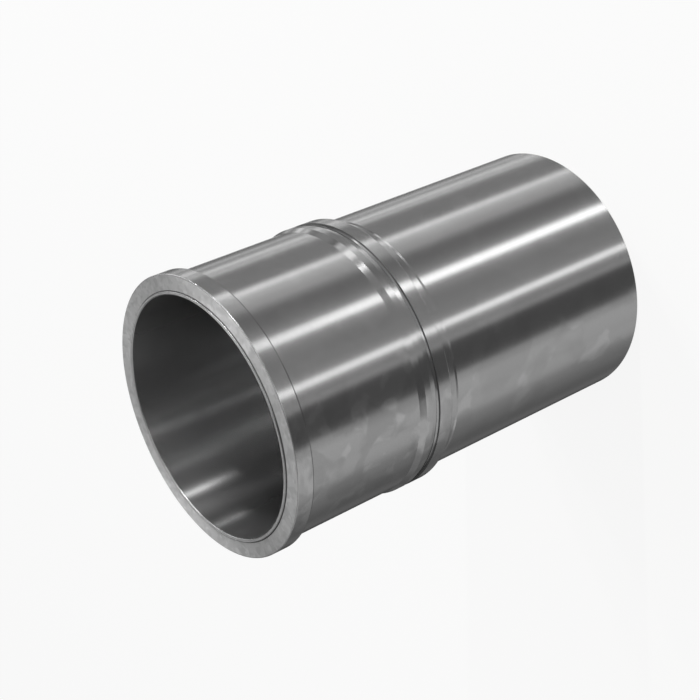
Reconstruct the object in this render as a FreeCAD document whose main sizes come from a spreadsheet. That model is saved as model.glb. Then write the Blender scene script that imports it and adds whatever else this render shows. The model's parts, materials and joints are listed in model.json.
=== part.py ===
import FreeCAD, Part
import math
import os
import Sketcher

# A mid-stop wet cylinder liner, turned from one casting.
# It stands on its lower end: Z runs up the bore and the flange is on top.

# Driving dimensions
# Millimetres and degrees, each written once.
# Radial sizes stack outwards from the bore and lengths stack upwards from the lower end.
SIZES = {
    "bore_diameter": ("130.0", "honed bore"),
    "lower_wall": ("5.8", "wall of the lower barrel"),
    "seat_width": ("3.5", "radial width of the stop face under the collar"),
    "collar_rise": ("1.3", "how far the collar stands above the upper barrel"),
    "flange_overhang": ("2.8", "how far the flange stands above the upper barrel"),
    "lower_barrel_length": ("142.0", "lower end to stop face, relief neck included"),
    "lower_land_length": ("8.1", "collar land between stop face and seal groove"),
    "groove_width": ("5.1", "seal groove, measured on the collar's surface"),
    "upper_land_length": ("3.9", "collar land between seal groove and ramp"),
    "upper_barrel_length": ("69.0", "top of the ramp to the flange's underside"),
    "flange_thickness": ("10.0", "underside to gasket face"),
    "lip_height": ("0.85", "fire lip above the gasket face"),
    "lip_width": ("2.0", "radial width of the fire lip"),
    "ramp_angle": ("20.0", "ramp above the collar, from the axis"),
    "groove_flank_angle": ("20.0", "upper flank of the seal groove, from the axis"),
    "groove_wall_angle": ("60.0", "lower wall of the seal groove, from the axis"),
    "groove_root_radius": ("1.0", "round root of the seal groove"),
    "neck_length": ("6.3", "full depth of the relief neck under the stop face"),
    "neck_depth": ("0.35", "relief neck below the lower barrel"),
    "neck_exit_angle": ("20.0", "run-out of the relief neck, from the axis"),
    "neck_corner_radius": ("0.25", "corner between relief neck and stop face"),
    "flange_root_bevel": ("0.8", "sloped corner under the flange"),
    "lip_foot_radius": ("0.4", "corner between fire lip and gasket face"),
    "bore_top_chamfer": ("0.3", "mouth of the bore at the fire lip"),
    "lip_edge_chamfer": ("0.15", "outer edge of the fire lip"),
    "flange_top_chamfer": ("0.3", "flange edge at the gasket face"),
    "flange_back_chamfer": ("0.5", "flange edge at its underside"),
    "collar_edge_chamfer": ("0.3", "collar edge at the stop face"),
    "end_chamfer": ("1.0", "outer edge of the lower end"),
    "bore_lead_chamfer": ("1.5", "mouth of the bore at the lower end"),
    "cut_clearance": ("1.0", "how far a cutting outline reaches past the surface it cuts"),
}

# Radii and heights that follow from the driving dimensions
BORE_RADIUS = "Sizes.bore_diameter / 2"
LOWER_RADIUS = f"({BORE_RADIUS} + Sizes.lower_wall)"
COLLAR_RADIUS = f"({LOWER_RADIUS} + Sizes.seat_width)"
BARREL_RADIUS = f"({COLLAR_RADIUS} - Sizes.collar_rise)"
FLANGE_RADIUS = f"({BARREL_RADIUS} + Sizes.flange_overhang)"
LIP_RADIUS = f"({BORE_RADIUS} + Sizes.lip_width)"
NECK_RADIUS = f"({LOWER_RADIUS} - Sizes.neck_depth)"
CUT_RADIUS = f"({COLLAR_RADIUS} + Sizes.cut_clearance)"

LOWER_END = "0"
STOP_FACE = "Sizes.lower_barrel_length"
GROOVE_BOTTOM = f"({STOP_FACE} + Sizes.lower_land_length)"
GROOVE_TOP = f"({GROOVE_BOTTOM} + Sizes.groove_width)"
COLLAR_TOP = f"({GROOVE_TOP} + Sizes.upper_land_length)"
RAMP_TOP = f"({COLLAR_TOP} + Sizes.collar_rise / tan(Sizes.ramp_angle))"
FLANGE_BACK = f"({RAMP_TOP} + Sizes.upper_barrel_length)"
GASKET_FACE = f"({FLANGE_BACK} + Sizes.flange_thickness)"
LIP_TOP = f"({GASKET_FACE} + Sizes.lip_height)"

FULL_TURN = 360.0
ON_THE_SPOT = 0.001


def make_sheet(doc):
    """Put every driving dimension into one sheet, with its alias and what it measures."""
    sheet = doc.addObject("Spreadsheet::Sheet", "Sizes")
    for row, (alias, (value, meaning)) in enumerate(SIZES.items(), start=1):
        sheet.set(f"A{row}", alias)
        sheet.set(f"B{row}", value)
        sheet.setAlias(f"B{row}", alias)
        sheet.set(f"C{row}", meaning)
    doc.recompute()
    return sheet


def value_of(sheet, expression):
    """The present number of a radius or height that is worked out from the sheet."""
    return float(sheet.evalExpression(expression))


def new_sketch(body, name):
    """A sketch on the body's own XZ plane: X is the radius and Y is the height."""
    sketch = body.newObject("Sketcher::SketchObject", name)
    plane = next(item for item in body.Origin.OriginFeatures if item.Role == "XZ_Plane")
    sketch.AttachmentSupport = [(plane, "")]
    sketch.MapMode = "FlatFace"
    return sketch


def tie(sketch, kind, place, number, expression):
    """Add one dimension to a sketch and bind it to the sheet."""
    index = sketch.addConstraint(Sketcher.Constraint(kind, *place, number))
    sketch.setExpression(f"Constraints[{index}]", expression)


def tie_point(sheet, sketch, line, point, radius=None, height=None):
    """Dimension a line's end point from the axis, from the lower end, or from both."""
    if radius is not None:
        tie(sketch, "DistanceX", (-1, 1, line, point), value_of(sheet, radius), radius)
    if height == LOWER_END:
        sketch.addConstraint(Sketcher.Constraint("PointOnObject", line, point, -1))
    elif height is not None:
        tie(sketch, "DistanceY", (-1, 1, line, point), value_of(sheet, height), height)


def draw_outline(sheet, sketch, corners):
    """Draw a closed outline of straight lines through corners given as (radius, height)."""
    points = [FreeCAD.Vector(value_of(sheet, r), value_of(sheet, h), 0) for r, h in corners]
    count = len(corners)
    for i in range(count):
        sketch.addGeometry(Part.LineSegment(points[i], points[(i + 1) % count]))
    for i in range(count):
        sketch.addConstraint(Sketcher.Constraint("Coincident", i, 2, (i + 1) % count, 1))
    upright = [corners[i][0] == corners[(i + 1) % count][0] for i in range(count)]
    level = [corners[i][1] == corners[(i + 1) % count][1] for i in range(count)]
    for i, (radius, height) in enumerate(corners):
        if upright[i]:
            sketch.addConstraint(Sketcher.Constraint("Vertical", i))
        if level[i]:
            sketch.addConstraint(Sketcher.Constraint("Horizontal", i))
        # a corner that ends an upright or level line has that size already
        tie_point(sheet, sketch, i, 1,
                  None if upright[i - 1] else radius,
                  None if level[i - 1] else height)


def turn(body, kind, name, sketch):
    """Turn a sketch round the bore's axis, as added or as removed metal."""
    feature = body.newObject(kind, name)
    feature.Profile = sketch
    feature.ReferenceAxis = (sketch, ["V_Axis"])
    feature.Angle = FULL_TURN
    sketch.Visibility = False
    body.Document.recompute()
    return feature


def ring_edges(sheet, shape, *rings):
    """Names of the circular edges that lie at the given (radius, height) places."""
    wanted = [(value_of(sheet, r), value_of(sheet, h)) for r, h in rings]
    names = []
    for number, edge in enumerate(shape.Edges, start=1):
        if not isinstance(edge.Curve, Part.Circle):
            continue
        for radius, height in wanted:
            near_radius = abs(edge.Curve.Radius - radius) < ON_THE_SPOT
            if near_radius and abs(edge.Curve.Center.z - height) < ON_THE_SPOT:
                names.append(f"Edge{number}")
    if len(names) != len(rings):
        raise RuntimeError(f"found {len(names)} of {len(rings)} rings at {wanted}")
    return names


def dress_edge(body, sheet, kind, name, size, *rings):
    """Round or bevel the edges at the given places; size names its cell in the sheet."""
    base = body.Tip
    feature = body.newObject(kind, name)
    feature.Base = (base, ring_edges(sheet, base.Shape, *rings))
    prop = "Radius" if kind == "PartDesign::Fillet" else "Size"
    feature.setExpression(prop, f"Sizes.{size}")
    body.Document.recompute()
    return feature


def turn_blank(body, sheet):
    """The turned form without its grooves: flange, barrels, collar with its ramp, and bore."""
    sketch = new_sketch(body, "blank_outline")
    draw_outline(sheet, sketch, [
        (BORE_RADIUS, LOWER_END),
        (LOWER_RADIUS, LOWER_END),
        (LOWER_RADIUS, STOP_FACE),
        (COLLAR_RADIUS, STOP_FACE),
        (COLLAR_RADIUS, COLLAR_TOP),
        (BARREL_RADIUS, RAMP_TOP),
        (BARREL_RADIUS, FLANGE_BACK),
        (FLANGE_RADIUS, FLANGE_BACK),
        (FLANGE_RADIUS, GASKET_FACE),
        (LIP_RADIUS, GASKET_FACE),
        (LIP_RADIUS, LIP_TOP),
        (BORE_RADIUS, LIP_TOP),
    ])
    return turn(body, "PartDesign::Revolution", "turned_blank", sketch)


def cut_relief_neck(body, sheet):
    """The shallow neck under the stop face, which runs out to the lower barrel on a slope."""
    neck_bottom = f"({STOP_FACE} - Sizes.neck_length)"
    slope = "tan(Sizes.neck_exit_angle)"
    run_out = f"({neck_bottom} - (Sizes.neck_depth + Sizes.cut_clearance) / {slope})"
    outside = f"({LOWER_RADIUS} + Sizes.cut_clearance)"
    sketch = new_sketch(body, "neck_outline")
    draw_outline(sheet, sketch, [
        (NECK_RADIUS, neck_bottom),
        (outside, run_out),
        (outside, STOP_FACE),
        (NECK_RADIUS, STOP_FACE),
    ])
    return turn(body, "PartDesign::Groove", "relief_neck", sketch)


def cut_seal_groove(body, sheet):
    """The seal groove: a long upper flank and a steep lower wall, joined by a round root."""
    flank = math.radians(value_of(sheet, "Sizes.groove_flank_angle"))
    wall = math.radians(value_of(sheet, "Sizes.groove_wall_angle"))
    root = value_of(sheet, "Sizes.groove_root_radius")
    mouth_top = f"({GROOVE_TOP} + Sizes.cut_clearance / tan(Sizes.groove_flank_angle))"
    mouth_bottom = f"({GROOVE_BOTTOM} - Sizes.cut_clearance / tan(Sizes.groove_wall_angle))"
    top = FreeCAD.Vector(value_of(sheet, CUT_RADIUS), value_of(sheet, mouth_top), 0)
    bottom = FreeCAD.Vector(value_of(sheet, CUT_RADIUS), value_of(sheet, mouth_bottom), 0)

    # the point where flank and wall would meet, and the root arc that is tangent to both
    depth = (top.y - bottom.y) / (1 / math.tan(flank) + 1 / math.tan(wall))
    apex = FreeCAD.Vector(top.x - depth, top.y - depth / math.tan(flank), 0)
    along_flank = (top - apex).normalize()
    along_wall = (bottom - apex).normalize()
    half_angle = along_flank.getAngle(along_wall) / 2
    reach = root / math.tan(half_angle)
    centre = apex + (along_flank + along_wall).normalize() * (root / math.sin(half_angle))
    flank_end = apex + along_flank * reach
    wall_end = apex + along_wall * reach
    mid_arc = centre + (apex - centre).normalize() * root

    sketch = new_sketch(body, "groove_outline")
    mouth = sketch.addGeometry(Part.LineSegment(bottom, top))
    flank_line = sketch.addGeometry(Part.LineSegment(top, flank_end))
    arc = sketch.addGeometry(Part.Arc(flank_end, mid_arc, wall_end))
    wall_line = sketch.addGeometry(Part.LineSegment(wall_end, bottom))
    sketch.addConstraint(Sketcher.Constraint("Coincident", mouth, 2, flank_line, 1))
    sketch.addConstraint(Sketcher.Constraint("Coincident", wall_line, 2, mouth, 1))
    tie_point(sheet, sketch, mouth, 1, CUT_RADIUS, mouth_bottom)
    tie_point(sheet, sketch, mouth, 2, CUT_RADIUS, mouth_top)
    # a sketch stores an arc counter-clockwise, so its ends are matched to the lines by place
    starts_at_flank = sketch.getPoint(arc, 1).distanceToPoint(flank_end) < ON_THE_SPOT
    at_flank, at_wall = (1, 2) if starts_at_flank else (2, 1)
    sketch.addConstraint(Sketcher.Constraint("Tangent", flank_line, 2, arc, at_flank))
    sketch.addConstraint(Sketcher.Constraint("Tangent", wall_line, 1, arc, at_wall))
    tie(sketch, "Radius", (arc,), root, "Sizes.groove_root_radius")
    tie(sketch, "Angle", (flank_line, 1, mouth, 2), flank, "Sizes.groove_flank_angle")
    tie(sketch, "Angle", (mouth, 1, wall_line, 2), wall, "Sizes.groove_wall_angle")
    return turn(body, "PartDesign::Groove", "seal_groove", sketch)


def finish_edges(body, sheet):
    """Inner corners first, then the broken edges."""
    dress_edge(body, sheet, "PartDesign::Chamfer", "flange_root", "flange_root_bevel",
               (BARREL_RADIUS, FLANGE_BACK))
    dress_edge(body, sheet, "PartDesign::Fillet", "neck_corner", "neck_corner_radius",
               (NECK_RADIUS, STOP_FACE))
    dress_edge(body, sheet, "PartDesign::Fillet", "lip_foot", "lip_foot_radius",
               (LIP_RADIUS, GASKET_FACE))
    dress_edge(body, sheet, "PartDesign::Chamfer", "bore_top_edge", "bore_top_chamfer",
               (BORE_RADIUS, LIP_TOP))
    dress_edge(body, sheet, "PartDesign::Chamfer", "lip_edge", "lip_edge_chamfer",
               (LIP_RADIUS, LIP_TOP))
    dress_edge(body, sheet, "PartDesign::Chamfer", "flange_top_edge", "flange_top_chamfer",
               (FLANGE_RADIUS, GASKET_FACE))
    dress_edge(body, sheet, "PartDesign::Chamfer", "flange_back_edge", "flange_back_chamfer",
               (FLANGE_RADIUS, FLANGE_BACK))
    dress_edge(body, sheet, "PartDesign::Chamfer", "collar_edge", "collar_edge_chamfer",
               (COLLAR_RADIUS, STOP_FACE))
    dress_edge(body, sheet, "PartDesign::Chamfer", "lower_end_edge", "end_chamfer",
               (LOWER_RADIUS, LOWER_END))
    dress_edge(body, sheet, "PartDesign::Chamfer", "bore_lead", "bore_lead_chamfer",
               (BORE_RADIUS, LOWER_END))


def make_liner(doc, sheet):
    """The liner as one turned body: blank, then grooves, then edges."""
    body = doc.addObject("PartDesign::Body", "cylinder_liner")
    body.Label = "cylinder_liner"
    body.Placement = FreeCAD.Placement()
    blank = turn_blank(body, sheet)
    volume = blank.Shape.Volume
    for cut in (cut_relief_neck, cut_seal_groove):
        groove = cut(body, sheet)
        if groove.Shape.Volume >= volume:
            raise RuntimeError(f"{groove.Label} removes nothing")
        volume = groove.Shape.Volume
    finish_edges(body, sheet)
    return body


def check(doc, bodies):
    """Stop before anything is written if a feature failed or a solid isn't sound."""
    for item in doc.Objects:
        if "Invalid" in item.State or "Error" in item.State:
            raise RuntimeError(f"{item.Label} failed: {item.State}")
    for body in bodies:
        if body.Shape.isNull() or not body.Shape.isValid() or len(body.Shape.Solids) != 1:
            raise RuntimeError(f"{body.Label} is not one sound solid")


def main():
    doc = FreeCAD.newDocument("cylinder_liner")
    sheet = make_sheet(doc)
    bodies = [make_liner(doc, sheet)]
    doc.recompute()
    check(doc, bodies)
    os.makedirs("parts", exist_ok=True)
    for body in bodies:
        body.Shape.exportStep(f"parts/{body.Label}.step")
        box = body.Shape.optimalBoundingBox(False)
        print(f"{body.Label}: {box.XLength:.2f} x {box.YLength:.2f} x {box.ZLength:.2f} mm, "
              f"{body.Shape.Volume:.1f} mm3, {len(body.Shape.Faces)} faces")


main()
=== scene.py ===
import json
import logging
import math
from dataclasses import dataclass, field
from enum import Enum
from typing import Any

import bpy
from mathutils import Matrix, Vector


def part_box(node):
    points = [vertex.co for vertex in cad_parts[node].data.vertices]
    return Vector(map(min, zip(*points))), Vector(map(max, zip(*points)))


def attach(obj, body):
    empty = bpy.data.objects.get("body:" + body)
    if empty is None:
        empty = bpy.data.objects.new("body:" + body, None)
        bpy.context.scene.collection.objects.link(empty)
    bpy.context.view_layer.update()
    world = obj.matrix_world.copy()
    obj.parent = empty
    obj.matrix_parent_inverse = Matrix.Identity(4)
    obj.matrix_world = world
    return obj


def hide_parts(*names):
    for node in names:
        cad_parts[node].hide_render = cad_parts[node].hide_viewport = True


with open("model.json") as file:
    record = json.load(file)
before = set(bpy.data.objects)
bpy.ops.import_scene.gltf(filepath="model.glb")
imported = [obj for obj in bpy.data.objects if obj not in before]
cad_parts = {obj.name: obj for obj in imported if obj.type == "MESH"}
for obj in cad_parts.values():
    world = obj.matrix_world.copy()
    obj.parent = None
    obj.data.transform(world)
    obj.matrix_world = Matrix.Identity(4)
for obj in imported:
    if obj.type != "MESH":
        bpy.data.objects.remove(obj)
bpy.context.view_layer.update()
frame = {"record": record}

# A mid-stop wet cylinder liner, standing on its lower end in a plain pale studio.
# Lengths are metres unless a name ends in _mm or _MM.

log = logging.getLogger("cylinder_liner_scene")

MM = 0.001
NODE = "cylinder_liner"
BODY = "root"
WHITE = (1.0, 1.0, 1.0, 1.0)
HALF_TURN_DEGREES = 180.0

Tree = bpy.types.NodeTree
Socket = bpy.types.NodeSocket

# settings that several nodes share
TIMES = {"operation": "MULTIPLY"}
TIMES_PLUS = {"operation": "MULTIPLY_ADD"}
IN_DEGREES = {"operation": "DEGREES"}
SMOOTH = {"interpolation_type": "SMOOTHSTEP"}
SOLID = {"noise_dimensions": "3D"}
COLOUR_MIX = {"data_type": "RGBA"}


def linear(hex_colour: str) -> tuple[float, float, float, float]:
    """Turn an sRGB hex colour into the linear colour that a shader takes.

    Args:
        hex_colour: six hex digits, with or without a leading #.

    Returns:
        Red, green, blue and an alpha of 1, all linear.
    """
    digits = hex_colour.lstrip("#")
    channels = [int(digits[i:i + 2], 16) / 255 for i in (0, 2, 4)]
    return (*(c / 12.92 if c <= 0.04045 else ((c + 0.055) / 1.055) ** 2.4 for c in channels), 1.0)


def add_node(tree: Tree, kind: str, settings: dict[str, Any] | None = None,
             inputs: dict[str | int, Any] | None = None) -> bpy.types.Node:
    """Add one node to a tree, with its settings and its inputs.

    Args:
        tree: the node tree to add to.
        kind: the node's type name.
        settings: properties to set, by name.
        inputs: sockets by name or number; an output socket is linked, any other value is set.

    Returns:
        The new node.
    """
    node = tree.nodes.new(kind)
    for name, value in (settings or {}).items():
        setattr(node, name, value)
    for key, value in (inputs or {}).items():
        if isinstance(value, bpy.types.NodeSocket):
            tree.links.new(value, node.inputs[key])
        else:
            node.inputs[key].default_value = value
    return node


class Surface(Enum):
    """How each stretch was machined, two with painted shade too; the value is its slot on the mesh.
    """

    HONED_BORE = 0
    GROUND_BARREL = 1
    TURNED_BARREL = 2
    FACED_END = 3
    BROKEN_EDGE = 4
    GROOVE_WALL = 5
    LIP_TOP = 6
    FLANGE_BACK = 7


# a bevel's finish also covers the roundings at its two sides
BEVELS = (Surface.BROKEN_EDGE, Surface.FLANGE_BACK)

# The graphite flakes of grey cast iron keep it darker than steel and give it a fine grain. Flakes
# and real tool lines are finer than a pixel, which is about 0.5 mm at the liner. So that they show,
# the grain is drawn at 0.7 mm and the lines 0.6 to 0.9 mm apart.
GRAIN_MM = 0.7
GRAIN_TONE = 0.07
# noise cells in a metre along a tool's line, so that a line runs on for about 170 mm
LINE_RUN = 6.0
# octaves of the noise, and how strongly the finer ones show in tool lines and in marks
NOISE_DETAIL = 2.0
LINE_CONTRAST = 0.6
MARK_CONTRAST = 0.4
# how far a mark's outline is pulled about
MARK_DISTORTION = 0.4
OIL_ROUGHNESS = 0.55
# in whole turns, as the shader takes it
QUARTER_TURN = 0.25
# Where hands last held the liner, in degrees round from the camera's side. The marks have their
# full strength up to HANDLED_FULLY from there, and fade to a share of it at HANDLED_REACH.
HANDLED_SIDE = -38.0
HANDLED_FULLY = 9.0
HANDLED_REACH = 36.0
HANDLED_ELSEWHERE = 0.2


@dataclass(frozen=True)
class Mark:
    """One kind of mark on the metal, as patches of noise.

    Attributes:
        start: noise value at which a patch starts.
        full: noise value at which it is full.
        shift: metres that the noise is moved along the axis, so that two kinds of mark differ.
    """

    start: float
    full: float
    shift: float


# light smears from a cloth or a hand, and darker ones under a film of oil
WIPED = Mark(start=0.53, full=0.61, shift=0.0)
OILED = Mark(start=0.49, full=0.63, shift=0.4)


@dataclass(frozen=True)
class IronFinish:
    """One machined finish of the grey cast iron.

    Attributes:
        name: the material's name.
        colour: the clean metal's colour.
        wiped_colour: the colour where a cloth or hand has left a light mark.
        oiled_colour: the colour under a film of oil.
        roughness: the clean metal's roughness.
        mark_roughness: what a light mark adds to the roughness.
        anisotropy: how much the tool's lines stretch a highlight along the bore's axis.
        line_mm: spacing of the tool's lines.
        line_depth_mm: height of the tool's lines for the bump.
        line_roughness: how much rougher the metal is along the lines.
        hatch_degrees: half the angle between crossed honing lines, or 0 for lines round the axis.
        mark_mm: size of the marks.
        marked: how strong the marks are away from where hands held it.
        edge_tint: how much of the glancing brightness is left.
        oil: how much of the surface keeps a dull film of preserving oil.
        metallic: share of bare metal; open graphite flakes and residue scatter light in the rest.
    """

    name: str
    colour: str
    wiped_colour: str
    oiled_colour: str
    roughness: float
    mark_roughness: float
    anisotropy: float
    line_mm: float
    line_depth_mm: float
    line_roughness: float = 0.04
    hatch_degrees: float = 0.0
    mark_mm: float = 18.0
    marked: float = HANDLED_ELSEWHERE
    edge_tint: float = 0.6
    oil: float = 0.0
    metallic: float = 1.0

    def tool_lines(self, tree: Tree, place: Socket, twist: float) -> Socket:
        """Draw the lines that the tool left, as noise stretched along them.

        Args:
            tree: the material's node tree.
            place: the point on the liner, in metres.
            twist: radians that the lines turn for each metre of height, or 0 for rings.

        Returns:
            A value of about 0.5 that rises and falls across the lines.
        """
        fine = 1 / (self.line_mm * MM)
        scale = (LINE_RUN, LINE_RUN, fine)
        if twist:
            scale = (fine, fine, LINE_RUN)
            height = add_node(tree, "ShaderNodeSeparateXYZ", inputs={0: place})
            turn = add_node(tree, "ShaderNodeMath", TIMES, {0: height.outputs["Z"], 1: twist})
            place = add_node(tree, "ShaderNodeVectorRotate", {"rotation_type": "Z_AXIS"},
                             {"Vector": place, "Angle": turn.outputs[0]}).outputs[0]
        stretched = add_node(tree, "ShaderNodeVectorMath", TIMES, {0: place, 1: scale})
        noise = add_node(tree, "ShaderNodeTexNoise", SOLID, {
            "Vector": stretched.outputs[0], "Scale": 1.0, "Detail": NOISE_DETAIL,
            "Roughness": LINE_CONTRAST})
        return noise.outputs["Fac"]

    def handled(self, tree: Tree, place: Socket) -> Socket:
        """Say how much a point was handled: fully on the side that hands held, less elsewhere.

        Args:
            tree: the material's node tree.
            place: the point on the liner, in metres.

        Returns:
            A value from the finish's own low level up to 1.
        """
        level = add_node(tree, "ShaderNodeVectorMath", TIMES, {0: place, 1: (1.0, 1.0, 0.0)})
        outward = add_node(tree, "ShaderNodeVectorMath", {"operation": "NORMALIZE"},
                           {0: level.outputs[0]})
        side = math.radians(HANDLED_SIDE)
        facing = add_node(tree, "ShaderNodeVectorMath", {"operation": "DOT_PRODUCT"},
                          {0: outward.outputs[0], 1: (math.sin(side), -math.cos(side), 0.0)})
        return add_node(tree, "ShaderNodeMapRange", SMOOTH, {
            "Value": facing.outputs["Value"],
            "From Min": math.cos(math.radians(HANDLED_REACH)),
            "From Max": math.cos(math.radians(HANDLED_FULLY)),
            "To Min": self.marked, "To Max": 1.0}).outputs[0]

    def marks(self, tree: Tree, place: Socket, mark: Mark, strength: Socket) -> Socket:
        """Draw soft-edged patches of one kind of mark.

        Args:
            tree: the material's node tree.
            place: the point on the liner, in metres.
            mark: the kind of mark.
            strength: how strong the marks are here.

        Returns:
            A value from 0 to the strength.
        """
        moved = add_node(tree, "ShaderNodeVectorMath", {"operation": "ADD"},
                         {0: place, 1: (0.0, 0.0, mark.shift)})
        noise = add_node(tree, "ShaderNodeTexNoise", SOLID, {
            "Vector": moved.outputs[0], "Scale": 1 / (self.mark_mm * MM),
            "Detail": NOISE_DETAIL, "Roughness": MARK_CONTRAST, "Distortion": MARK_DISTORTION})
        patch = add_node(tree, "ShaderNodeMapRange", SMOOTH, {
            "Value": noise.outputs["Fac"], "From Min": mark.start, "From Max": mark.full})
        return add_node(tree, "ShaderNodeMath", TIMES,
                        {0: patch.outputs[0], 1: strength}).outputs[0]

    def material(self, bore_radius: float) -> bpy.types.Material:
        """Build the finish as a node material.

        Args:
            bore_radius: the bore's radius, which sets how fast honing lines climb.

        Returns:
            The material.
        """
        material = bpy.data.materials.new(self.name)
        material.use_nodes = True
        tree = material.node_tree
        tree.nodes.clear()
        place = add_node(tree, "ShaderNodeTexCoord").outputs["Object"]

        if self.hatch_degrees:
            twist = 1 / (bore_radius * math.tan(math.radians(self.hatch_degrees)))
            lines = add_node(tree, "ShaderNodeMath", {"operation": "MINIMUM"},
                             {0: self.tool_lines(tree, place, twist),
                              1: self.tool_lines(tree, place, -twist)}).outputs[0]
        else:
            lines = self.tool_lines(tree, place, 0.0)

        strength = self.handled(tree, place)
        wiped = self.marks(tree, place, WIPED, strength)
        oiled = self.marks(tree, place, OILED, strength)
        light = add_node(tree, "ShaderNodeMix", COLOUR_MIX,
                         {0: wiped, 6: linear(self.colour), 7: linear(self.wiped_colour)})
        dark = add_node(tree, "ShaderNodeMix", COLOUR_MIX,
                        {0: oiled, 6: light.outputs[2], 7: linear(self.oiled_colour)})
        grain = add_node(tree, "ShaderNodeTexNoise", SOLID, {
            "Vector": place, "Scale": 1 / (GRAIN_MM * MM), "Detail": NOISE_DETAIL})
        tone = add_node(tree, "ShaderNodeMapRange", inputs={
            "Value": grain.outputs["Fac"], "To Min": 1 - GRAIN_TONE, "To Max": 1 + GRAIN_TONE})
        shaded = add_node(tree, "ShaderNodeVectorMath", {"operation": "SCALE"},
                          {0: dark.outputs[2], "Scale": tone.outputs[0]})

        worn = add_node(tree, "ShaderNodeMath", TIMES_PLUS,
                        {0: wiped, 1: self.mark_roughness, 2: self.roughness})
        rough = add_node(tree, "ShaderNodeMath", TIMES_PLUS,
                         {0: lines, 1: self.line_roughness, 2: worn.outputs[0]})
        bump = add_node(tree, "ShaderNodeBump", inputs={
            "Height": lines, "Strength": 1.0, "Distance": self.line_depth_mm * MM})
        # a highlight spreads across the tool's lines, so the tangent turns a quarter
        tangent = add_node(tree, "ShaderNodeTangent", {"direction_type": "RADIAL", "axis": "Z"})
        shader = add_node(tree, "ShaderNodeBsdfPrincipled", inputs={
            "Base Color": shaded.outputs[0], "Metallic": self.metallic,
            "Roughness": rough.outputs[0], "Specular Tint": (self.edge_tint,) * 3 + (1.0,),
            "Anisotropic": self.anisotropy, "Anisotropic Rotation": QUARTER_TURN,
            "Tangent": tangent.outputs[0], "Normal": bump.outputs[0],
            "Coat Weight": self.oil, "Coat Roughness": OIL_ROUGHNESS})
        add_node(tree, "ShaderNodeOutputMaterial", inputs={"Surface": shader.outputs[0]})
        return material


FINISHES = {
    # honed grey iron: crossed scratches under oil, so highlights are long, soft and dim
    Surface.HONED_BORE: IronFinish(
        "honed_grey_iron", colour="#828282", wiped_colour="#888888", oiled_colour="#7c7c7c",
        roughness=0.265, mark_roughness=0.006, anisotropy=1.0, line_mm=0.9,
        line_depth_mm=0.00005, line_roughness=0.01, hatch_degrees=25.0, mark_mm=24.0,
        oil=1.0, metallic=0.93),
    # ground grey iron: fine rings, so highlights are crisp across and long along the axis
    Surface.GROUND_BARREL: IronFinish(
        "ground_grey_iron", colour="#717171", wiped_colour="#797979", oiled_colour="#6d6d6d",
        roughness=0.17, mark_roughness=0.02, anisotropy=0.75, line_mm=0.6,
        line_depth_mm=0.0004, mark_mm=24.0),
    # fine-turned grey iron: slightly coarser rings and softer highlights
    Surface.TURNED_BARREL: IronFinish(
        "turned_grey_iron", colour="#717171", wiped_colour="#7a7a7a", oiled_colour="#6a6a6a",
        roughness=0.175, mark_roughness=0.03, anisotropy=0.75, line_mm=0.7,
        line_depth_mm=0.0005, mark_mm=14.0),
    # faced grey iron: matte, with rings round the bore and wiped smears
    Surface.FACED_END: IronFinish(
        "faced_grey_iron", colour="#aeaeae", wiped_colour="#b8b8b8", oiled_colour="#a4a4a4",
        roughness=0.44, mark_roughness=0.05, anisotropy=0.82, line_mm=0.9,
        line_depth_mm=0.001, mark_mm=4.0, marked=1.0),
    # deburred grey iron: smooth small bevels, which show as fine glints
    Surface.BROKEN_EDGE: IronFinish(
        "deburred_grey_iron", colour="#848484", wiped_colour="#8a8a8a", oiled_colour="#7c7c7c",
        roughness=0.25, mark_roughness=0.02, anisotropy=0.2, line_mm=0.6,
        line_depth_mm=0.0003, edge_tint=0.8),
    # painted shade: darkened for the shade on the groove's steep wall and the lip's wall and foot
    Surface.GROOVE_WALL: IronFinish(
        "painted_shade_grey_iron", colour="#484848", wiped_colour="#505050", oiled_colour="#404040",
        roughness=0.5, mark_roughness=0.02, anisotropy=0.3, line_mm=0.6,
        line_depth_mm=0.0004, mark_mm=14.0),
    # fine-faced grey iron: smoother and a little darker than the gasket face round it
    Surface.LIP_TOP: IronFinish(
        "fine_faced_grey_iron", colour="#a8a8a8", wiped_colour="#b0b0b0", oiled_colour="#9e9e9e",
        roughness=0.42, mark_roughness=0.04, anisotropy=0.75, line_mm=0.7,
        line_depth_mm=0.0008, mark_mm=4.0, marked=1.0),
    # painted shade: the flange's smooth back bevel, darkened to show the shade there as a hairline
    Surface.FLANGE_BACK: IronFinish(
        "painted_shade_edge_grey_iron", colour="#505050", wiped_colour="#565656", oiled_colour="#4a4a4a",
        roughness=0.12, mark_roughness=0.02, anisotropy=0.0, line_mm=0.6,
        line_depth_mm=0.0001, line_roughness=0.01),
}


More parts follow.
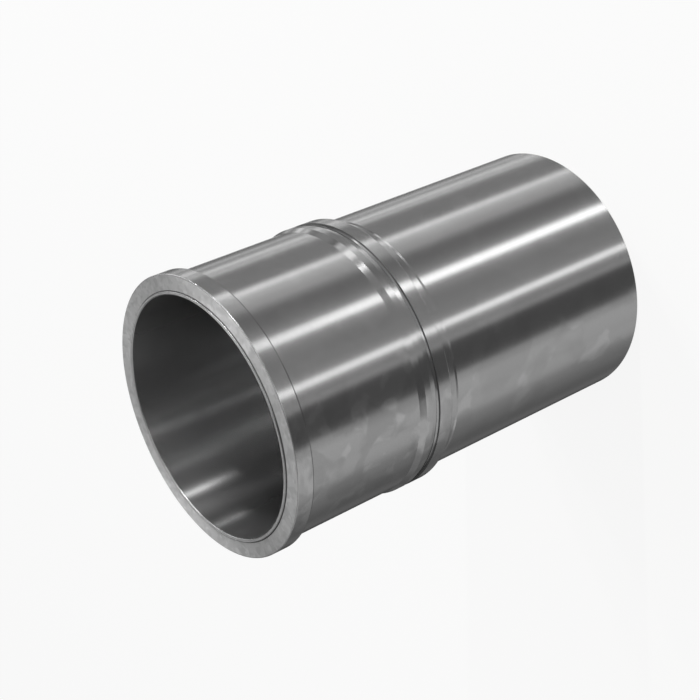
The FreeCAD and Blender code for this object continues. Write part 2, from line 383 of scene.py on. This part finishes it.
@dataclass
class LinerSizes:
    """The liner's sizes: what the frame states, and the details that its mounts don't give.

    Attributes:
        bore: the bore's radius.
        flange: the flange's radius.
        collar: the collar's radius.
        lower: the lower barrel's radius.
        gasket_face: height of the gasket face.
        stop_face: height of the stop face.
        lip_top: height of the fire lip's top.
    """

    bore: float
    flange: float
    collar: float
    lower: float
    gasket_face: float
    stop_face: float
    lip_top: float
    # the collar, from its ramp down to the stop face
    collar_rise: float = 1.3 * MM
    ramp: float = math.radians(20)
    upper_land: float = 3.9 * MM
    groove_width: float = 5.1 * MM
    groove_flank: float = math.radians(20)
    groove_wall: float = math.radians(60)
    groove_root_radius: float = 1.0 * MM
    lower_land: float = 8.1 * MM
    collar_edge: float = 0.3 * MM
    # the relief neck under it
    neck_corner: float = 0.25 * MM
    neck_length: float = 6.3 * MM
    neck_depth: float = 0.35 * MM
    neck_exit: float = math.radians(20)
    # the flange and the fire lip
    flange_thickness: float = 10.0 * MM
    flange_root: float = 0.8 * MM
    flange_top_edge: float = 0.3 * MM
    flange_back_edge: float = 0.5 * MM
    lip_width: float = 2.0 * MM
    lip_foot: float = 0.4 * MM
    lip_edge: float = 0.3 * MM
    # the ends of the bore and of the lower barrel
    bore_top_edge: float = 0.45 * MM
    bore_lead: float = 1.5 * MM
    end_edge: float = 1.0 * MM

    @classmethod
    def from_frame(cls) -> "LinerSizes":
        """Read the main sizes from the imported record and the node's box.

        Returns:
            The sizes, in metres.
        """
        mounts = {mount["name"]: mount for mount in frame["record"]["mounts"]}
        radius = {name: mount["dims"]["r_mm"] * MM
                  for name, mount in mounts.items() if "r_mm" in mount["dims"]}
        return cls(
            bore=radius["bore"], flange=radius["flange_rim"], collar=radius["collar_land"],
            lower=radius["lower_barrel"],
            gasket_face=mounts["gasket_face"]["pos_m"][2],
            stop_face=mounts["stop_face"]["pos_m"][2],
            lip_top=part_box(NODE)[1].z)


# share of a bevel that the roundings of its two corners take up
BEVEL_SHARE = 0.98
# the rounding of each corner of a 45 degree bevel, for each unit of the bevel's depth
ROUND_IN_BEVEL = BEVEL_SHARE * math.sqrt(0.5) / math.tan(math.radians(22.5))


@dataclass(frozen=True)
class Corner:
    """A corner of the outline, its rounding radius and the surface of the wall that leaves it."""

    point: Vector
    rounding: float
    surface: Surface


@dataclass(frozen=True)
class Wall:
    """A straight wall between two corners: its direction, its outward normal and its surface."""

    along: Vector
    normal: Vector
    surface: Surface


@dataclass(frozen=True)
class Stretch:
    """A straight piece of the outline, with the normal that each end is shaded with."""

    start: Vector
    end: Vector
    start_normal: Vector
    end_normal: Vector
    surface: Surface


@dataclass
class Outline:
    """The liner's closed half section, drawn counter-clockwise as (radius, height) corners.

    Attributes:
        corners: the corners, in order.
        steps: how many straight pieces make a rounded corner.
    """

    corners: list[Corner] = field(default_factory=list)
    steps: int = 5

    def to(self, radius: float, height: float, surface: Surface, rounding: float = 0.0) -> None:
        """Add a corner; the surface is that of the wall that leaves it."""
        self.corners.append(Corner(Vector((radius, height)), rounding, surface))

    def bevel(self, radius: float, height: float, to_radius: float, to_height: float,
              surface: Surface, then: Surface) -> None:
        """Add a small 45 degree bevel that deburring has turned into one smooth arc.

        Args:
            radius: radius where the bevel starts.
            height: height where it starts.
            to_radius: radius where it ends.
            to_height: height where it ends.
            surface: the bevel's own surface.
            then: the surface of the wall that follows it.
        """
        rounding = ROUND_IN_BEVEL * abs(to_radius - radius)
        self.to(radius, height, surface, rounding)
        self.to(to_radius, to_height, then, rounding)

    def stretches(self) -> list[Stretch]:
        """Turn the corners into straight pieces, with arcs at the rounded corners.

        Returns:
            The pieces in order, with shading normals that are exact at both ends.
        """
        count = len(self.corners)
        walls = []
        for i, corner in enumerate(self.corners):
            along = (self.corners[(i + 1) % count].point - corner.point).normalized()
            walls.append(Wall(along, Vector((along.y, -along.x)), corner.surface))
        ends = []
        for i, corner in enumerate(self.corners):
            before, after = walls[i - 1].along, walls[i].along
            reach = corner.rounding * math.tan(before.angle(after) / 2)
            ends.append((corner.point - before * reach, corner.point + after * reach))
        pieces = []
        for i, (corner, wall) in enumerate(zip(self.corners, walls)):
            arrive, leave = ends[i]
            if corner.rounding:
                pieces += self.arc(arrive, leave, walls[i - 1], wall, corner.rounding)
            next_arrive = ends[(i + 1) % count][0]
            pieces.append(Stretch(leave, next_arrive, wall.normal, wall.normal, wall.surface))
        return pieces

    def arc(self, arrive: Vector, leave: Vector, before: Wall, after: Wall, rounding: float
            ) -> list[Stretch]:
        """Draw one rounded corner.

        Args:
            arrive: where the arc starts.
            leave: where the arc ends.
            before: the wall before it.
            after: the wall after it.
            rounding: the arc's radius.

        Returns:
            The arc's pieces, in order.
        """
        turn = before.along.angle_signed(after.along)
        convex = turn < 0
        outward = 1.0 if convex else -1.0
        centre = arrive - before.normal * rounding * outward
        start = math.atan2(before.normal.y, before.normal.x)
        points, normals = [], []
        for step in range(self.steps + 1):
            angle = start - turn * step / self.steps
            normal = Vector((math.cos(angle), math.sin(angle)))
            normals.append(normal)
            points.append(centre + normal * rounding * outward)
        points[-1] = leave
        if before.surface in BEVELS or (convex and after.surface not in BEVELS):
            surface = before.surface
        else:
            surface = after.surface
        return [Stretch(points[k], points[k + 1], normals[k], normals[k + 1], surface)
                for k in range(self.steps)]


@dataclass
class Liner:
    """The liner as one turned mesh that stands for its CAD node.

    Attributes:
        sizes: the liner's sizes.
        finishes: the finish of each kind of surface.
        facets: straight pieces in one turn round the axis.
        edge_round: rounding that tumbling and handling leave on a sharp outer edge.
        flank_lean: how far the groove's long flank is shaded as leaning in, in radians.
        wall_lean: how far the groove's steep wall is shaded as leaning out, in radians.
    """

    sizes: LinerSizes
    finishes: dict[Surface, IronFinish]
    facets: int = 288
    edge_round: float = 0.08 * MM
    flank_lean: float = math.radians(5)
    wall_lean: float = math.radians(12)

    def outline(self) -> Outline:
        """Lay out the half section, up the outside and down the bore.

        Returns:
            The closed outline.
        """
        s, edge = self.sizes, self.edge_round
        line = Outline()
        broken, ground, turned = Surface.BROKEN_EDGE, Surface.GROUND_BARREL, Surface.TURNED_BARREL
        faced, honed = Surface.FACED_END, Surface.HONED_BORE
        painted_dark, lip_face = Surface.GROOVE_WALL, Surface.LIP_TOP
        upper = s.collar - s.collar_rise
        neck = s.lower - s.neck_depth
        neck_bottom = s.stop_face - s.neck_length
        groove_bottom = s.stop_face + s.lower_land
        groove_top = groove_bottom + s.groove_width
        collar_top = groove_top + s.upper_land
        ramp_top = collar_top + s.collar_rise / math.tan(s.ramp)
        flange_back = s.gasket_face - s.flange_thickness
        lip = s.bore + s.lip_width
        # the groove's flank and wall meet at this depth below the collar's surface
        rise = 1 / math.tan(s.groove_flank) + 1 / math.tan(s.groove_wall)
        apex_depth = s.groove_width / rise
        apex_height = groove_bottom + apex_depth / math.tan(s.groove_wall)

        line.to(s.bore + s.bore_lead, 0.0, faced, edge)
        line.to(s.lower - s.end_edge, 0.0, broken, edge)
        line.to(s.lower, s.end_edge, ground, edge)
        line.to(s.lower, neck_bottom - s.neck_depth / math.tan(s.neck_exit), turned, edge)
        line.to(neck, neck_bottom, turned, edge)
        line.to(neck, s.stop_face, faced, s.neck_corner)
        line.bevel(s.collar - s.collar_edge, s.stop_face, s.collar, s.stop_face + s.collar_edge,
                   turned, turned)
        # painted shade on the groove's steep wall
        line.to(s.collar, groove_bottom, painted_dark, edge)
        line.to(s.collar - apex_depth, apex_height, turned, s.groove_root_radius)
        line.to(s.collar, groove_top, turned, edge)
        line.to(s.collar, collar_top, turned, edge)
        line.to(upper, ramp_top, turned, edge)
        line.to(upper, flange_back, turned)
        line.to(upper + s.flange_root, flange_back, faced)
        # painted shade on the flange's back bevel and its roundings
        line.bevel(s.flange - s.flange_back_edge, flange_back,
                   s.flange, flange_back + s.flange_back_edge, Surface.FLANGE_BACK, turned)
        line.bevel(s.flange, s.gasket_face - s.flange_top_edge,
                   s.flange - s.flange_top_edge, s.gasket_face, broken, faced)
        # painted shade on the fire lip's outer wall and foot
        line.to(lip, s.gasket_face, painted_dark, s.lip_foot)
        line.bevel(lip, s.lip_top - s.lip_edge, lip - s.lip_edge, s.lip_top, broken, lip_face)
        line.bevel(s.bore + s.bore_top_edge, s.lip_top, s.bore, s.lip_top - s.bore_top_edge,
                   broken, honed)
        line.to(s.bore, s.bore_lead, broken, edge)
        return line

    def eased(self, piece: Stretch, normal: Vector) -> Vector:
        """Shade the groove so that the barrel's streaks run on across it and no lamp glints in it.

        Args:
            piece: the piece of the outline that is shaded.
            normal: its own normal at one end.

        Returns:
            The normal, which inside the groove leans by no more than flank_lean or wall_lean.
        """
        s = self.sizes
        bottom = s.stop_face + s.lower_land
        top = bottom + s.groove_width
        middle = (piece.start + piece.end) / 2
        if middle.x < s.lower or not bottom - self.edge_round < middle.y < top:
            return normal
        lean = min(max(math.atan2(normal.y, normal.x), -self.flank_lean), self.wall_lean)
        return Vector((math.cos(lean), math.sin(lean)))

    def mesh(self) -> bpy.types.Mesh:
        """Turn the outline round the bore's axis.

        Returns:
            A closed mesh with its shading normals and one material for each surface.
        """
        pieces = self.outline().stretches()
        rings = len(pieces)
        turns = [(math.sin(a), math.cos(a)) for a in
                 (2 * math.pi * k / self.facets for k in range(self.facets))]
        points = [(p.start.x * c, p.start.x * s, p.start.y) for p in pieces for s, c in turns]
        faces, normals, slots = [], [], []
        for i, piece in enumerate(pieces):
            above = (i + 1) % rings
            start, end = (self.eased(piece, n) for n in (piece.start_normal, piece.end_normal))
            for k in range(self.facets):
                n = (k + 1) % self.facets
                faces.append((i * self.facets + k, i * self.facets + n,
                              above * self.facets + n, above * self.facets + k))
                slots.append(piece.surface.value)
                for normal, (s, c) in ((start, turns[k]), (start, turns[n]),
                                       (end, turns[n]), (end, turns[k])):
                    normals.append((normal.x * c, normal.x * s, normal.y))
        mesh = bpy.data.meshes.new("liner_casting")
        mesh.from_pydata(points, [], faces)
        for surface in Surface:
            mesh.materials.append(self.finishes[surface].material(self.sizes.bore))
        mesh.polygons.foreach_set("material_index", slots)
        mesh.polygons.foreach_set("use_smooth", [True] * len(faces))
        mesh.normals_split_custom_set(normals)
        mesh.update()
        return mesh

    def build(self) -> bpy.types.Object:
        """Make the liner, and let it stand for its CAD node.

        Returns:
            The liner's object.
        """
        liner = bpy.data.objects.new("liner_casting", self.mesh())
        bpy.context.scene.collection.objects.link(liner)
        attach(liner, BODY)
        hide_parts(NODE)
        return liner


@dataclass(frozen=True)
class StripLight:
    """A tall strip of light or shade in the surround, which the metal shows as a streak.

    Attributes:
        name: the strip's name.
        middle: where its streak shows on the wall, in degrees round from the camera's side.
        width: how wide the streak is, in degrees of the wall.
        fade: how far its edges fade out, in degrees of the wall.
        level: how bright it is, where 1 is white.
        lowest: elevation of its lower end, in degrees.
        highest: elevation of its upper end, in degrees.
        rise_fade: how far its ends fade out, in degrees of elevation.
    """

    name: str
    middle: float
    width: float
    fade: float
    level: float
    lowest: float = -90.0
    highest: float = 30.0
    rise_fade: float = 10.0


@dataclass(frozen=True)
class SoftBox:
    """A lamp with a flat, evenly lit front.

    Attributes:
        name: the lamp's name.
        azimuth: degrees round from the camera's side.
        elevation: degrees above the floor, seen from the liner.
        distance: metres from the liner's middle.
        width: metres across.
        height: metres tall.
        level: how bright its front is, where 1 is white.
        direct_only: whether it lights only what the eye sees first; its light from wall to wall
            in the bore would show as specks.
    """

    name: str
    azimuth: float
    elevation: float
    distance: float
    width: float
    height: float
    level: float
    direct_only: bool = True


@dataclass
class PhotoCamera:
    """The camera at the photograph's viewing angle.

    Attributes:
        place: where the camera stands.
        aim: the point it looks at.
        roll: degrees that it is turned about its own view, because the liner stands upright
            here and lies on its side in the photograph.
        lens_mm: focal length.
        sensor_mm: width of the sensor.
    """

    place: Vector = field(default_factory=lambda: Vector((0.0, -0.7264, 0.6158)))
    aim: Vector = field(default_factory=lambda: Vector((0.00285, 0.0, 0.1462)))
    roll: float = -113.2
    lens_mm: float = 83.56
    sensor_mm: float = 36.0

    def build(self) -> bpy.types.Object:
        """Make the camera and look through it.

        Returns:
            The camera's object.
        """
        data = bpy.data.cameras.new("photo_camera")
        data.lens = self.lens_mm
        data.sensor_width = self.sensor_mm
        camera = bpy.data.objects.new("photo_camera", data)
        upright = (self.aim - self.place).to_track_quat("-Z", "Y").to_matrix().to_4x4()
        turned = upright @ Matrix.Rotation(math.radians(self.roll), 4, "Z")
        camera.matrix_world = Matrix.Translation(self.place) @ turned
        bpy.context.scene.collection.objects.link(camera)
        bpy.context.scene.camera = camera
        return camera


@dataclass
class Studio:
    """The pale floor, the surround and the lamps.

    Attributes:
        camera: the camera that the strips are placed for.
        wall_radius: mean radius of the barrels that show the streaks.
        wall_height: how high up the liner its walls reach.
        floor_colour: the floor's colour.
        floor_size: the floor's width and depth.
        floor_glow: share of the floor's look that is the plain white background.
        surround_level: the surround's brightness on matte surfaces.
        upper_level: the brightness of the surround's upper part in the metal.
        horizon: elevation at which the upper part starts, in degrees.
        horizon_fade: how far it fades in on either side of that, in degrees.
        unevenness: how much brighter and darker the surround's folds are.
        uneven_degrees: width of a fold.
        uneven_detail: octaves of noise in the folds.
        strips: the strips of light and shade in the surround; a later one covers the earlier.
        boxes: the lamps.
    """

    camera: PhotoCamera
    wall_radius: float
    wall_height: float
    floor_colour: str = "#ebebea"
    floor_size: float = 12.0
    floor_glow: float = 0.88
    surround_level: float = 0.45
    upper_level: float = 1.05
    horizon: float = 18.0
    horizon_fade: float = 10.0
    unevenness: float = 0.35
    uneven_degrees: float = 5.0
    uneven_detail: float = 3.0
    # name, middle, width, fade, level
    strips: tuple[StripLight, ...] = (
        StripLight("shaded_side", -104.0, 74.0, 20.0, 0.45),
        StripLight("shaded_rear", -86.0, 16.0, 6.0, 0.1),
        StripLight("light_band", -35.0, 11.0, 10.0, 1.75, highest=10.0),
        StripLight("dark_band", -17.6, 12.4, 0.8, 0.33, highest=90.0),
        StripLight("high_dark_band", -26.5, 7.0, 3.0, 0.4, lowest=-6.0, highest=90.0),
        StripLight("thin_strip", -9.6, 1.2, 0.4, 1.4),
        StripLight("fill_shoulder", -3.2, 3.0, 3.0, 1.2),
        StripLight("fill_strip", -3.3, 1.9, 0.6, 5.3),
        StripLight("key_shoulder", 16.4, 5.0, 4.0, 1.2, highest=0.0),
        StripLight("key_strip", 16.3, 2.9, 0.6, 8.2, highest=-20.0, rise_fade=18.0),
        StripLight("high_key_shoulder", 21.0, 12.0, 3.0, 1.6, lowest=10.0, highest=45.0),
        StripLight("high_key_strip", 14.0, 1.2, 0.5, 14.0, lowest=7.0, highest=40.0),
        StripLight("side_gap", 50.0, 8.0, 3.0, 1.0),
        StripLight("band_foot", 33.0, 2.0, 4.0, 1.3),
        StripLight("side_band", 37.0, 7.0, 1.2, 1.9),
        StripLight("side_strip", 40.8, 2.2, 0.5, 5.5, highest=-2.0),
        StripLight("high_side_strip", 35.0, 3.0, 1.0, 6.0, lowest=-12.0, highest=24.0),
        StripLight("rim_band", 66.0, 20.0, 1.5, 1.0),
        StripLight("rim_shoulder", 58.2, 1.4, 0.5, 3.6),
        StripLight("rim_strip", 62.6, 2.0, 0.8, 4.8),
        StripLight("outer_strip", 69.5, 1.6, 1.0, 2.3),
        StripLight("outer_shade", 75.5, 4.0, 2.0, 0.4),
        StripLight("edge_strip", 81.5, 2.0, 1.5, 1.7),
    )
    # name, azimuth, elevation, distance, width, height, level
    boxes: tuple[SoftBox, ...] = (
        SoftBox("top_soft_box", 106.0, 66.0, 1.8, 0.5, 0.5, 3.6, direct_only=False),
        SoftBox("bore_tube_lamp", 58.0, 15.8, 1.66, 0.022, 0.33, 560.0),
        SoftBox("bore_side_lamp", 103.0, 16.0, 1.66, 0.08, 0.16, 135.0),
        SoftBox("edge_lamp", 94.0, 44.0, 1.66, 0.09, 0.16, 75.0),
    )

    def background_share(self, tree: Tree) -> Socket:
        """Tell the rays that show the plain background: the camera's, and those in metal or glass.

        Args:
            tree: the node tree to add to.

        Returns:
            A value of 1 on those rays and 0 on the others.
        """
        path = add_node(tree, "ShaderNodeLightPath")
        seen = add_node(tree, "ShaderNodeMath", {"operation": "MAXIMUM"},
                        {0: path.outputs["Is Camera Ray"], 1: path.outputs["Is Glossy Ray"]})
        through = add_node(tree, "ShaderNodeMath", {"operation": "MAXIMUM"},
                           {0: seen.outputs[0], 1: path.outputs["Is Transmission Ray"]})
        return through.outputs[0]

    def mirror_azimuth(self, degrees: float) -> float:
        """Follow the camera's view off an upright line of the wall.

        Args:
            degrees: where the line is, round from the camera's side.

        Returns:
            The azimuth of the mirrored view, in degrees from the camera's side.
        """
        angle = math.radians(degrees)
        across = self.wall_radius * math.sin(angle)
        away = -self.camera.place.y - self.wall_radius * math.cos(angle)
        return 2 * degrees + math.degrees(math.atan2(across, away))

    def directions(self, tree: Tree) -> tuple[Socket, Socket]:
        """Turn each direction of the surround into two angles.

        Args:
            tree: the world's node tree.

        Returns:
            The azimuth round from the camera's side and the elevation, both in degrees.
        """
        way = add_node(tree, "ShaderNodeSeparateXYZ", inputs={
            0: add_node(tree, "ShaderNodeTexCoord").outputs["Generated"]})
        towards = add_node(tree, "ShaderNodeMath", TIMES, {0: way.outputs["Y"], 1: -1.0})
        turn = add_node(tree, "ShaderNodeMath", {"operation": "ARCTAN2"},
                        {0: way.outputs["X"], 1: towards.outputs[0]})
        azimuth = add_node(tree, "ShaderNodeMath", IN_DEGREES, {0: turn.outputs[0]})
        rise = add_node(tree, "ShaderNodeMath", {"operation": "ARCSINE"}, {0: way.outputs["Z"]})
        elevation = add_node(tree, "ShaderNodeMath", IN_DEGREES, {0: rise.outputs[0]})
        return azimuth.outputs[0], elevation.outputs[0]

    def strip_share(self, tree: Tree, strip: StripLight, azimuth: Socket, elevation: Socket
                    ) -> Socket:
        """Mask one strip, with its faded edges and ends.

        Args:
            tree: the world's node tree.
            strip: the strip.
            azimuth: the direction's azimuth, in degrees.
            elevation: the direction's elevation, in degrees.

        Returns:
            A value of 1 inside the strip and 0 outside it.
        """
        middle = self.mirror_azimuth(strip.middle)
        edge = strip.middle + strip.width / 2
        offset = add_node(tree, "ShaderNodeMath", {"operation": "SUBTRACT"},
                          {0: azimuth, 1: middle})
        away = add_node(tree, "ShaderNodeMath", {"operation": "PINGPONG"},
                        {0: offset.outputs[0], 1: HALF_TURN_DEGREES})
        across = add_node(tree, "ShaderNodeMapRange", SMOOTH, {
            "Value": away.outputs[0], "From Min": self.mirror_azimuth(edge) - middle,
            "From Max": self.mirror_azimuth(edge + strip.fade) - middle,
            "To Min": 1.0, "To Max": 0.0})
        above = add_node(tree, "ShaderNodeMapRange", SMOOTH, {
            "Value": elevation, "From Min": strip.lowest,
            "From Max": strip.lowest + strip.rise_fade})
        below = add_node(tree, "ShaderNodeMapRange", SMOOTH, {
            "Value": elevation, "From Min": strip.highest - strip.rise_fade,
            "From Max": strip.highest, "To Min": 1.0, "To Max": 0.0})
        span = add_node(tree, "ShaderNodeMath", TIMES,
                        {0: above.outputs[0], 1: below.outputs[0]})
        return add_node(tree, "ShaderNodeMath", TIMES,
                        {0: across.outputs[0], 1: span.outputs[0]}).outputs[0]

    def metal_surround(self, tree: Tree) -> Socket:
        """Lay out what the metal shows: plain white all round, the strips and soft folds.

        Args:
            tree: the world's node tree.

        Returns:
            The brightness, where 1 is white.
        """
        azimuth, elevation = self.directions(tree)
        level = add_node(tree, "ShaderNodeMapRange", SMOOTH, {
            "Value": elevation, "From Min": self.horizon - self.horizon_fade,
            "From Max": self.horizon + self.horizon_fade,
            "To Min": 1.0, "To Max": self.upper_level}).outputs[0]
        for strip in self.strips:
            share = self.strip_share(tree, strip, azimuth, elevation)
            level = add_node(tree, "ShaderNodeMix",
                             inputs={0: share, 2: level, 3: strip.level}).outputs[0]
        folds = add_node(tree, "ShaderNodeTexNoise", {"noise_dimensions": "1D"}, {
            "W": azimuth, "Scale": 1 / self.uneven_degrees, "Detail": self.uneven_detail})
        uneven = add_node(tree, "ShaderNodeMapRange", inputs={
            "Value": folds.outputs["Fac"], "To Min": 1 - self.unevenness,
            "To Max": 1 + self.unevenness})
        return add_node(tree, "ShaderNodeMath", TIMES,
                        {0: level, 1: uneven.outputs[0]}).outputs[0]

    def world(self) -> None:
        """Light the studio softly, show it as plain white, and show the metal its streaks."""
        world = bpy.data.worlds.new("studio_surround")
        world.use_nodes = True
        tree = world.node_tree
        tree.nodes.clear()
        light = add_node(tree, "ShaderNodeBackground", inputs={
            "Color": WHITE, "Strength": self.surround_level})
        white = add_node(tree, "ShaderNodeBackground", inputs={"Color": WHITE, "Strength": 1.0})
        strips = add_node(tree, "ShaderNodeBackground", inputs={
            "Color": WHITE, "Strength": self.metal_surround(tree)})
        plain = add_node(tree, "ShaderNodeMixShader", inputs={
            0: self.background_share(tree), 1: light.outputs[0], 2: white.outputs[0]})
        metal = add_node(tree, "ShaderNodeLightPath").outputs["Is Glossy Ray"]
        mix = add_node(tree, "ShaderNodeMixShader", inputs={
            0: metal, 1: plain.outputs[0], 2: strips.outputs[0]})
        add_node(tree, "ShaderNodeOutputWorld", inputs={"Surface": mix.outputs[0]})
        bpy.context.scene.world = world

    def floor(self) -> bpy.types.Object:
        """Lay the pale floor, which keeps the liner's soft shadow.

        Returns:
            The floor's object.
        """
        material = bpy.data.materials.new("matte_pale_floor")
        material.use_nodes = True
        tree = material.node_tree
        tree.nodes.clear()
        paint = add_node(tree, "ShaderNodeBsdfDiffuse", inputs={"Color": linear(self.floor_colour)})
        white = add_node(tree, "ShaderNodeEmission", inputs={"Strength": 1.0})
        share = add_node(tree, "ShaderNodeMath", TIMES,
                         {0: self.background_share(tree), 1: self.floor_glow})
        mix = add_node(tree, "ShaderNodeMixShader", inputs={
            0: share.outputs[0], 1: paint.outputs[0], 2: white.outputs[0]})
        add_node(tree, "ShaderNodeOutputMaterial", inputs={"Surface": mix.outputs[0]})
        half = self.floor_size / 2
        mesh = bpy.data.meshes.new("pale_floor")
        mesh.from_pydata([(x * half, y * half, 0.0) for x, y in
                          ((-1, -1), (1, -1), (1, 1), (-1, 1))], [], [(0, 1, 2, 3)])
        mesh.materials.append(material)
        floor = bpy.data.objects.new("pale_floor", mesh)
        # metal shows the surround's white and strips here, so its streaks run on below the horizon
        floor.visible_glossy = False
        bpy.context.scene.collection.objects.link(floor)
        return floor

    def box(self, box: SoftBox) -> bpy.types.Object:
        """Hang one lamp, facing the liner's middle.

        Args:
            box: where it hangs, its size and how bright it is.

        Returns:
            The lamp's object.
        """
        data = bpy.data.lights.new(box.name, "AREA")
        data.shape = "RECTANGLE"
        data.size, data.size_y = box.width, box.height
        # the power at which a matte front of this size has this brightness
        data.energy = box.level * math.pi * box.width * box.height
        if box.direct_only:
            data.cycles.max_bounces = 0
        lamp = bpy.data.objects.new(box.name, data)
        a, e = math.radians(box.azimuth), math.radians(box.elevation)
        way = Vector((math.sin(a) * math.cos(e), -math.cos(a) * math.cos(e), math.sin(e)))
        middle = Vector((0.0, 0.0, self.wall_height / 2))
        lamp.matrix_world = (Matrix.Translation(middle + way * box.distance)
                             @ (-way).to_track_quat("-Z", "Y").to_matrix().to_4x4())
        lamp.visible_camera = False
        bpy.context.scene.collection.objects.link(lamp)
        return lamp

    def build(self) -> None:
        """Set up the surround, the floor and the lamps."""
        self.world()
        self.floor()
        for box in self.boxes:
            self.box(box)
        bpy.context.scene.view_settings.view_transform = "Standard"


def main() -> None:
    """Build the liner, the camera and the studio, in that order."""
    sizes = LinerSizes.from_frame()
    liner = Liner(sizes, FINISHES).build()
    log.info("%s: %d faces, %d finishes", liner.name, len(liner.data.polygons),
             len(liner.data.materials))
    camera = PhotoCamera()
    camera.build()
    log.info("camera: %.1f mm lens", camera.lens_mm)
    studio = Studio(camera, wall_radius=(sizes.lower + sizes.collar - sizes.collar_rise) / 2,
                    wall_height=sizes.lip_top)
    studio.build()
    log.info("studio: %d strips, %d lamps", len(studio.strips), len(studio.boxes))


if __name__ == "__main__":
    logging.basicConfig(level=logging.INFO, format="%(name)s: %(message)s")
    main()
